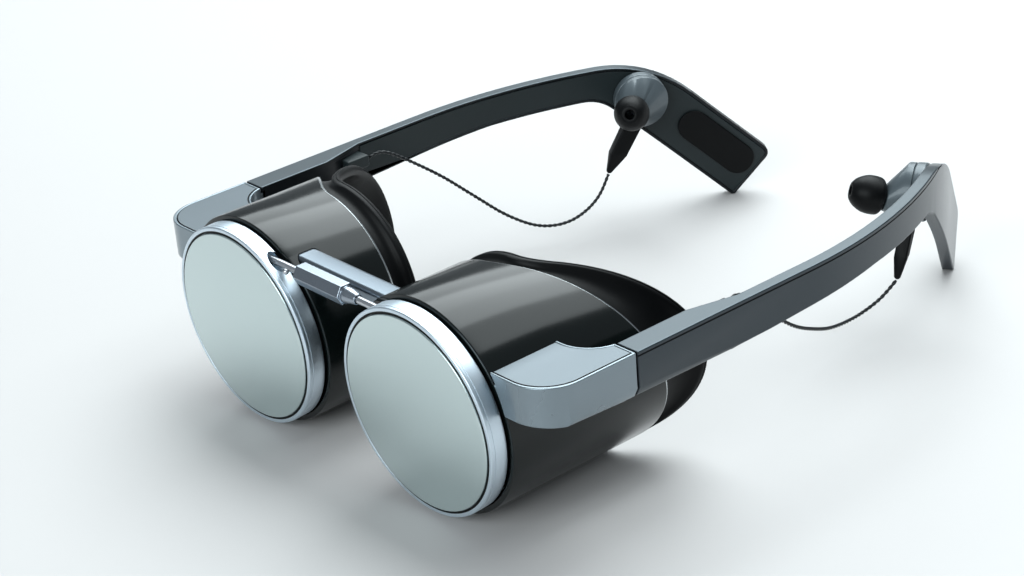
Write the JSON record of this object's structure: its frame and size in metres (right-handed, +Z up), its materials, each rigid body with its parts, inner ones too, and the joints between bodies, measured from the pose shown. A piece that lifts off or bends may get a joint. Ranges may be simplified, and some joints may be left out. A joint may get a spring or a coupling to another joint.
{
  "type": "smart glasses",
  "caption": "Virtual-reality glasses of short optical barrels with eye cups on an adjustable bridge, hooked temples and docked earphones on thin cords.",
  "frame": {"origin": "on the table, below the middle of the glasses, which stand on their barrels and temple tips", "axes": "+Z up; +Y from the front glasses back along the temples; +X to the wearer's left"},
  "size_m": [0.1456, 0.1866, 0.0542],
  "materials": {
    "front_glass": "half-mirrored grey-green",
    "lens_glass": "clear",
    "ring_aluminium": "satin, anodised",
    "bridge_aluminium": "satin",
    "plate_aluminium": "satin",
    "shell_metal": "satin dark grey",
    "arm_metal": "satin silver grey",
    "temple_lacquer": "glossy slate grey",
    "earphone_metal": "satin grey",
    "polished_steel": "polished",
    "steel": "plain",
    "speaker": "plain",
    "black_rubber": "matte",
    "black_plastic": "matte",
    "display": "glossy",
    "board": "solder-masked",
    "cord": "satin, two wires twisted"
  },
  "bodies": {
    "bridge": {"bridge_beam": "bridge_aluminium"},
    "adjuster": {"adjuster_nut": "polished_steel"},
    "left_barrel": {"left_front_glass": "front_glass", "left_glass_gasket": "black_rubber", "left_front_ring": "ring_aluminium", "left_gap_seal": "black_rubber", "left_barrel_shell": "shell_metal", "left_bridge_guide": "black_plastic", "left_adjuster_rod": "steel", "left_lens_tube": "black_plastic", "left_display_board": "board", "left_display_panel": "display", "left_eyepiece_lens": "lens_glass", "left_eye_cup": "black_rubber", "left_end_piece": "arm_metal", "left_end_plate": "plate_aluminium", "left_end_screws": "steel", "left_hinge_pin": "steel"},
    "left_temple": {"left_temple_shell": "temple_lacquer", "left_temple_cover": "black_plastic", "left_tip_pad": "black_rubber", "left_cord_gland": "black_plastic", "left_earphone_dock": "black_plastic", "left_cord": "cord", "signal_socket": "steel", "driver_board": "board"},
    "left_earphone": {"left_earphone_back": "earphone_metal", "left_speaker": "speaker", "left_earphone_housing": "earphone_metal", "left_ear_tip": "black_rubber", "left_cord_stem": "black_rubber"},
    "right_barrel": {"right_front_glass": "front_glass", "right_glass_gasket": "black_rubber", "right_front_ring": "ring_aluminium", "right_gap_seal": "black_rubber", "right_barrel_shell": "shell_metal", "right_bridge_guide": "black_plastic", "right_adjuster_rod": "steel", "right_lens_tube": "black_plastic", "right_display_board": "board", "right_display_panel": "display", "right_eyepiece_lens": "lens_glass", "right_eye_cup": "black_rubber", "right_end_piece": "arm_metal", "right_end_plate": "plate_aluminium", "right_end_screws": "steel", "right_hinge_pin": "steel"},
    "right_temple": {"right_temple_shell": "temple_lacquer", "right_temple_cover": "black_plastic", "right_tip_pad": "black_rubber", "right_cord_gland": "black_plastic", "right_earphone_dock": "black_plastic", "right_cord": "cord"},
    "right_earphone": {"right_earphone_back": "earphone_metal", "right_speaker": "speaker", "right_earphone_housing": "earphone_metal", "right_ear_tip": "black_rubber", "right_cord_stem": "black_rubber"}
  },
  "joints": [
    {"name": "left_slide", "type": "slide", "parent": "bridge", "child": "left_barrel", "axis": [1, 0, 0], "range_m": [-0.003, 0.003]},
    {"name": "right_slide", "type": "slide", "parent": "bridge", "child": "right_barrel", "axis": [1, 0, 0], "range_m": [-0.003, 0.003]},
    {"name": "adjuster_turn", "type": "hinge", "parent": "bridge", "child": "adjuster", "pos_m": [0, -0.08964, 0.04829], "axis": [1, 0, 0], "range_deg": [-1080, 1080]},
    {"name": "left_temple_hinge", "type": "hinge", "parent": "left_barrel", "child": "left_temple", "pos_m": [0.0675, -0.06024, 0.038], "axis": [0, 0, 1], "range_deg": [-2, 10]},
    {"name": "right_temple_hinge", "type": "hinge", "parent": "right_barrel", "child": "right_temple", "pos_m": [-0.0675, -0.06024, 0.038], "axis": [0, 0, -1], "range_deg": [-2, 10]},
    {"name": "left_earphone_pull", "type": "slide", "parent": "left_temple", "child": "left_earphone", "axis": [-0.8746, -0.4848, 0], "range_m": [0, 0.02]},
    {"name": "right_earphone_pull", "type": "slide", "parent": "right_temple", "child": "right_earphone", "axis": [0.8746, -0.4848, 0], "range_m": [0, 0.02]}
  ],
  "couplings": [
    {"joint": "right_slide", "follows": "left_slide", "ratio": -1},
    {"joint": "adjuster_turn", "follows": "left_slide", "rad_per_m": 6283.2}
  ]
}
